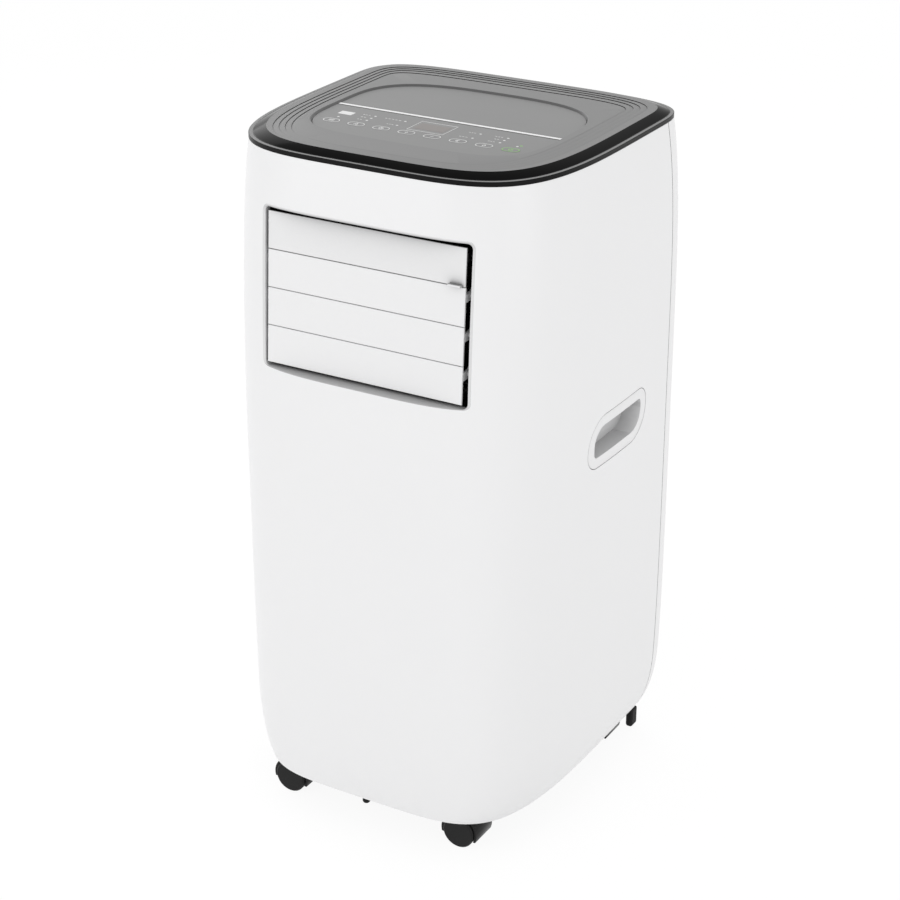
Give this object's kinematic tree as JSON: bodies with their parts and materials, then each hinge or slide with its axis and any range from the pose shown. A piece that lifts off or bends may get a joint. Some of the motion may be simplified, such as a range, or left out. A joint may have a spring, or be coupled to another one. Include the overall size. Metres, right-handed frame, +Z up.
{
  "type": "portable air conditioner",
  "caption": "Floor-standing room air conditioner on swivel casters: bowed front, slatted outlet, stepped lid with recessed control panel, side grips, rear intake grilles and exhaust collar.",
  "frame": {"origin": "on the floor under the middle of the casing, where the wheels stand", "axes": "+Z up, -Y out of the louvred front, +X to the right of someone facing the front"},
  "size_m": [0.3634, 0.3476, 0.697],
  "materials": {
    "casing": "satin white moulding",
    "screws": "plated",
    "handle": "satin off-white moulding",
    "base": "black moulding",
    "caster_hood": "glossy black",
    "caster_wheel": "black, smooth tread",
    "lid": "fine-grained black",
    "panel": "smooth black film",
    "keys": "soft black",
    "lenses": "frosted",
    "display": "dark window",
    "receiver": "dark window",
    "strip": "pale insert",
    "slats": "satin white moulding",
    "link": "white moulding",
    "louvre_frame": "black moulding",
    "guard": "black moulding",
    "grille": "satin white moulding",
    "filter": "fine mesh in a frame",
    "collar": "white moulding",
    "plug": "soft black",
    "bush": "soft black",
    "tray": "grey moulding",
    "coil": "finned",
    "housing": "black moulding",
    "blower": "black moulding",
    "motor": "grey",
    "compressor": "black enamel",
    "copper": "drawn copper",
    "electrical": "plated",
    "bumpers": "soft black"
  },
  "bodies": {
    "cabinet": {"front_casing": "casing", "rear_casing": "casing", "casing_screws": "screws", "side_handle_left": "handle", "side_handle_right": "handle", "base_pan": "base", "lid_cover": "lid", "control_overlay": "panel", "indicator_lenses": "lenses", "display_window": "display", "receiver_window": "receiver", "trim_strip": "strip", "louvre_frame": "louvre_frame", "outlet_guard": "guard", "exhaust_collar": "collar", "drain_spout": "collar", "cord_inlet": "bush", "drip_tray": "tray", "evaporator_coil": "coil", "evaporator_scroll": "housing", "evaporator_motor": "motor", "condenser_coil": "coil", "condenser_scroll": "housing", "condenser_motor": "motor", "compressor": "compressor", "refrigerant_pipes": "copper", "electrical_box": "electrical", "base_bumpers": "bumpers"},
    "caster_fl": {"caster_fl_housing": "caster_hood"},
    "wheel_fl_a": {"caster_fl_wheel_a": "caster_wheel"},
    "wheel_fl_b": {"caster_fl_wheel_b": "caster_wheel"},
    "caster_fr": {"caster_fr_housing": "caster_hood"},
    "wheel_fr_a": {"caster_fr_wheel_a": "caster_wheel"},
    "wheel_fr_b": {"caster_fr_wheel_b": "caster_wheel"},
    "caster_rl": {"caster_rl_housing": "caster_hood"},
    "wheel_rl_a": {"caster_rl_wheel_a": "caster_wheel"},
    "wheel_rl_b": {"caster_rl_wheel_b": "caster_wheel"},
    "caster_rr": {"caster_rr_housing": "caster_hood"},
    "wheel_rr_a": {"caster_rr_wheel_a": "caster_wheel"},
    "wheel_rr_b": {"caster_rr_wheel_b": "caster_wheel"},
    "slat_1": {"louvre_slat_1": "slats"},
    "slat_2": {"louvre_slat_2": "slats"},
    "slat_3": {"louvre_slat_3": "slats"},
    "slat_4": {"louvre_slat_4": "slats"},
    "link": {"louvre_link_bar": "link"},
    "key_1": {"key_1": "keys"},
    "key_2": {"key_2": "keys"},
    "key_3": {"key_3": "keys"},
    "key_4": {"key_4": "keys"},
    "key_5": {"key_5": "keys"},
    "key_6": {"key_6": "keys"},
    "key_7": {"key_7": "keys"},
    "key_8": {"key_8": "keys"},
    "upper_filter": {"upper_intake_grille": "grille", "upper_filter": "filter"},
    "lower_filter": {"lower_intake_grille": "grille", "lower_filter": "filter"},
    "cool_blower": {"evaporator_wheel": "blower"},
    "exhaust_blower": {"condenser_wheel": "blower"},
    "drain_plug": {"drain_plug": "plug"}
  },
  "joints": [
    {"name": "caster_fl_swivel", "type": "hinge", "parent": "cabinet", "child": "caster_fl", "pos_m": [-0.1, -0.13, 0.042], "axis": [0, 0, 1], "continuous": true},
    {"name": "wheel_fl_a_roll", "type": "hinge", "parent": "caster_fl", "child": "wheel_fl_a", "pos_m": [-0.1055, -0.13, 0.017], "axis": [0, 1, 0], "continuous": true},
    {"name": "wheel_fl_b_roll", "type": "hinge", "parent": "caster_fl", "child": "wheel_fl_b", "pos_m": [-0.1055, -0.13, 0.017], "axis": [0, 1, 0], "continuous": true},
    {"name": "caster_fr_swivel", "type": "hinge", "parent": "cabinet", "child": "caster_fr", "pos_m": [0.1, -0.13, 0.042], "axis": [0, 0, 1], "continuous": true},
    {"name": "wheel_fr_a_roll", "type": "hinge", "parent": "caster_fr", "child": "wheel_fr_a", "pos_m": [0.0945, -0.13, 0.017], "axis": [0, 1, 0], "continuous": true},
    {"name": "wheel_fr_b_roll", "type": "hinge", "parent": "caster_fr", "child": "wheel_fr_b", "pos_m": [0.0945, -0.13, 0.017], "axis": [0, 1, 0], "continuous": true},
    {"name": "caster_rl_swivel", "type": "hinge", "parent": "cabinet", "child": "caster_rl", "pos_m": [-0.126, 0.108, 0.042], "axis": [0, 0, 1], "continuous": true},
    {"name": "wheel_rl_a_roll", "type": "hinge", "parent": "caster_rl", "child": "wheel_rl_a", "pos_m": [-0.1315, 0.108, 0.017], "axis": [0, 1, 0], "continuous": true},
    {"name": "wheel_rl_b_roll", "type": "hinge", "parent": "caster_rl", "child": "wheel_rl_b", "pos_m": [-0.1315, 0.108, 0.017], "axis": [0, 1, 0], "continuous": true},
    {"name": "caster_rr_swivel", "type": "hinge", "parent": "cabinet", "child": "caster_rr", "pos_m": [0.126, 0.108, 0.042], "axis": [0, 0, 1], "continuous": true},
    {"name": "wheel_rr_a_roll", "type": "hinge", "parent": "caster_rr", "child": "wheel_rr_a", "pos_m": [0.1205, 0.108, 0.017], "axis": [0, 1, 0], "continuous": true},
    {"name": "wheel_rr_b_roll", "type": "hinge", "parent": "caster_rr", "child": "wheel_rr_b", "pos_m": [0.1205, 0.108, 0.017], "axis": [0, 1, 0], "continuous": true},
    {"name": "slat_1_tilt", "type": "hinge", "parent": "cabinet", "child": "slat_1", "pos_m": [0, -0.14122, 0.62283], "axis": [-1, 0, 0], "range_deg": [0, 75]},
    {"name": "slat_2_tilt", "type": "hinge", "parent": "cabinet", "child": "slat_2", "pos_m": [0, -0.14365, 0.58611], "axis": [-1, 0, 0], "range_deg": [0, 75]},
    {"name": "slat_3_tilt", "type": "hinge", "parent": "cabinet", "child": "slat_3", "pos_m": [0, -0.14609, 0.54939], "axis": [-1, 0, 0], "range_deg": [0, 75]},
    {"name": "slat_4_tilt", "type": "hinge", "parent": "cabinet", "child": "slat_4", "pos_m": [0, -0.14853, 0.51267], "axis": [-1, 0, 0], "range_deg": [0, 75]},
    {"name": "link_turn", "type": "hinge", "parent": "slat_1", "child": "link", "pos_m": [0, -0.13293, 0.62839], "axis": [-1, 0, 0], "range_deg": [-75, 0]},
    {"name": "key_1_press", "type": "slide", "parent": "cabinet", "child": "key_1", "axis": [0, 0, -1], "range_m": [0, 0.0005], "stiffness_N_per_m": 400, "springref_m": -0.0005},
    {"name": "key_2_press", "type": "slide", "parent": "cabinet", "child": "key_2", "axis": [0, 0, -1], "range_m": [0, 0.0005], "stiffness_N_per_m": 400, "springref_m": -0.0005},
    {"name": "key_3_press", "type": "slide", "parent": "cabinet", "child": "key_3", "axis": [0, 0, -1], "range_m": [0, 0.0005], "stiffness_N_per_m": 400, "springref_m": -0.0005},
    {"name": "key_4_press", "type": "slide", "parent": "cabinet", "child": "key_4", "axis": [0, 0, -1], "range_m": [0, 0.0005], "stiffness_N_per_m": 400, "springref_m": -0.0005},
    {"name": "key_5_press", "type": "slide", "parent": "cabinet", "child": "key_5", "axis": [0, 0, -1], "range_m": [0, 0.0005], "stiffness_N_per_m": 400, "springref_m": -0.0005},
    {"name": "key_6_press", "type": "slide", "parent": "cabinet", "child": "key_6", "axis": [0, 0, -1], "range_m": [0, 0.0005], "stiffness_N_per_m": 400, "springref_m": -0.0005},
    {"name": "key_7_press", "type": "slide", "parent": "cabinet", "child": "key_7", "axis": [0, 0, -1], "range_m": [0, 0.0005], "stiffness_N_per_m": 400, "springref_m": -0.0005},
    {"name": "key_8_press", "type": "slide", "parent": "cabinet", "child": "key_8", "axis": [0, 0, -1], "range_m": [0, 0.0005], "stiffness_N_per_m": 400, "springref_m": -0.0005},
    {"name": "upper_filter_pull", "type": "slide", "parent": "cabinet", "child": "upper_filter", "axis": [0, 1, 0], "range_m": [0, 0.06]},
    {"name": "lower_filter_pull", "type": "slide", "parent": "cabinet", "child": "lower_filter", "axis": [0, 1, 0], "range_m": [0, 0.06]},
    {"name": "cool_blower_spin", "type": "hinge", "parent": "cabinet", "child": "cool_blower", "pos_m": [0, -0.035, 0.5595], "axis": [1, 0, 0], "continuous": true},
    {"name": "exhaust_blower_spin", "type": "hinge", "parent": "cabinet", "child": "exhaust_blower", "pos_m": [0, 0.01, 0.285], "axis": [1, 0, 0], "continuous": true},
    {"name": "drain_plug_pull", "type": "slide", "parent": "cabinet", "child": "drain_plug", "axis": [0, 1, 0], "range_m": [0, 0.015]}
  ],
  "couplings": [
    {"joint": "slat_2_tilt", "follows": "slat_1_tilt", "ratio": 1},
    {"joint": "slat_3_tilt", "follows": "slat_1_tilt", "ratio": 1},
    {"joint": "slat_4_tilt", "follows": "slat_1_tilt", "ratio": 1},
    {"joint": "link_turn", "follows": "slat_1_tilt", "ratio": -1}
  ]
}
